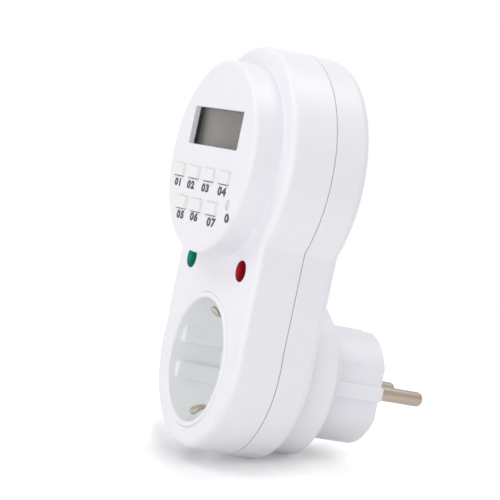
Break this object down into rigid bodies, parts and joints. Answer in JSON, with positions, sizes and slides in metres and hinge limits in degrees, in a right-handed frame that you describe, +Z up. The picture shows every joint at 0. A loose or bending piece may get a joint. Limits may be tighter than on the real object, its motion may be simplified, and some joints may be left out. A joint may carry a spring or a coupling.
{
  "type": "plug-in timer switch",
  "caption": "Plug-in digital timer switch: an earthed socket in front, a two-pin earthed plug behind, and a round display pod with push keys and two lamps.",
  "frame": {"origin": "midway between the two plug pins, on the plug's flat face that meets the wall outlet", "axes": "+Y along the pins into the wall, -Y towards the room, +Z up to the display, +X to the right as seen from the room"},
  "size_m": [0.0758, 0.0878, 0.1282],
  "materials": {
    "shell": "white ABS, satin",
    "insert": "white thermoset, satin",
    "plug_shell": "white thermoset, satin",
    "pin_metal": "nickel-plated brass",
    "spring_metal": "bronze spring strip",
    "window": "clear polycarbonate",
    "lcd": "grey-green liquid crystal cell, blank",
    "lcd_frame": "grey plastic",
    "zebra": "silicone rubber",
    "board": "green glass-epoxy laminate",
    "chip": "black moulding",
    "can": "bright metal can",
    "lens_green": "tinted clear plastic",
    "lens_red": "tinted clear plastic",
    "led_green": "clear epoxy",
    "led_red": "clear epoxy",
    "relay": "blue moulding",
    "film": "yellow box",
    "elco": "dark sleeved can",
    "varistor": "blue lacquer",
    "resistor": "ceramic body",
    "wire_brown": "brown insulation",
    "wire_blue": "blue insulation",
    "wire_grey": "grey insulation",
    "screw": "zinc-plated steel",
    "key": "creamy white plastic",
    "plunger": "grey plastic"
  },
  "bodies": {
    "case": {"front_housing": "shell", "rear_housing": "shell", "socket_insert": "insert", "plug_body": "plug_shell", "plug_pin_line": "pin_metal", "plug_pin_neutral": "pin_metal", "contact_carrier": "insert", "plug_earth_contacts": "spring_metal", "earth_strip": "spring_metal", "socket_contact_line": "spring_metal", "socket_contact_neutral": "spring_metal", "neutral_link": "spring_metal", "display_window": "window", "lcd_panel": "lcd", "lcd_frame": "lcd_frame", "zebra_strips": "zebra", "control_board": "board", "tact_switches": "chip", "microcontroller": "chip", "quartz_crystal": "can", "backup_battery": "can", "lens_green": "lens_green", "lens_red": "lens_red", "led_green": "led_green", "led_red": "led_red", "power_board": "board", "relay": "relay", "film_capacitor": "film", "electrolytic_capacitor": "elco", "varistor": "varistor", "fuse_resistor": "resistor", "diodes": "chip", "transistor": "chip", "wire_line_in": "wire_brown", "wire_line_out": "wire_brown", "wire_neutral": "wire_blue", "led_wires": "wire_grey", "ribbon_cable": "wire_grey", "case_screws": "screw", "board_screws": "screw"},
    "key_day": {"key_day": "key", "plunger_day": "plunger"},
    "key_hour": {"key_hour": "key", "plunger_hour": "plunger"},
    "key_minute": {"key_minute": "key", "plunger_minute": "plunger"},
    "key_second": {"key_second": "key", "plunger_second": "plunger"},
    "key_clock": {"key_clock": "key", "plunger_clock": "plunger"},
    "key_program": {"key_program": "key", "plunger_program": "plunger"},
    "key_manual": {"key_manual": "key", "plunger_manual": "plunger"},
    "reset": {"reset_button": "key", "plunger_reset": "plunger"}
  },
  "joints": [
    {"name": "key_day_press", "type": "slide", "parent": "case", "child": "key_day", "axis": [0, 1, 0], "range_m": [0, 0.0005], "stiffness_N_per_m": 400, "springref_m": -0.0005},
    {"name": "key_hour_press", "type": "slide", "parent": "case", "child": "key_hour", "axis": [0, 1, 0], "range_m": [0, 0.0005], "stiffness_N_per_m": 400, "springref_m": -0.0005},
    {"name": "key_minute_press", "type": "slide", "parent": "case", "child": "key_minute", "axis": [0, 1, 0], "range_m": [0, 0.0005], "stiffness_N_per_m": 400, "springref_m": -0.0005},
    {"name": "key_second_press", "type": "slide", "parent": "case", "child": "key_second", "axis": [0, 1, 0], "range_m": [0, 0.0005], "stiffness_N_per_m": 400, "springref_m": -0.0005},
    {"name": "key_clock_press", "type": "slide", "parent": "case", "child": "key_clock", "axis": [0, 1, 0], "range_m": [0, 0.0005], "stiffness_N_per_m": 400, "springref_m": -0.0005},
    {"name": "key_program_press", "type": "slide", "parent": "case", "child": "key_program", "axis": [0, 1, 0], "range_m": [0, 0.0005], "stiffness_N_per_m": 400, "springref_m": -0.0005},
    {"name": "key_manual_press", "type": "slide", "parent": "case", "child": "key_manual", "axis": [0, 1, 0], "range_m": [0, 0.0005], "stiffness_N_per_m": 400, "springref_m": -0.0005},
    {"name": "reset_press", "type": "slide", "parent": "case", "child": "reset", "axis": [0, 1, 0], "range_m": [0, 0.0005], "stiffness_N_per_m": 400, "springref_m": -0.0005}
  ]
}
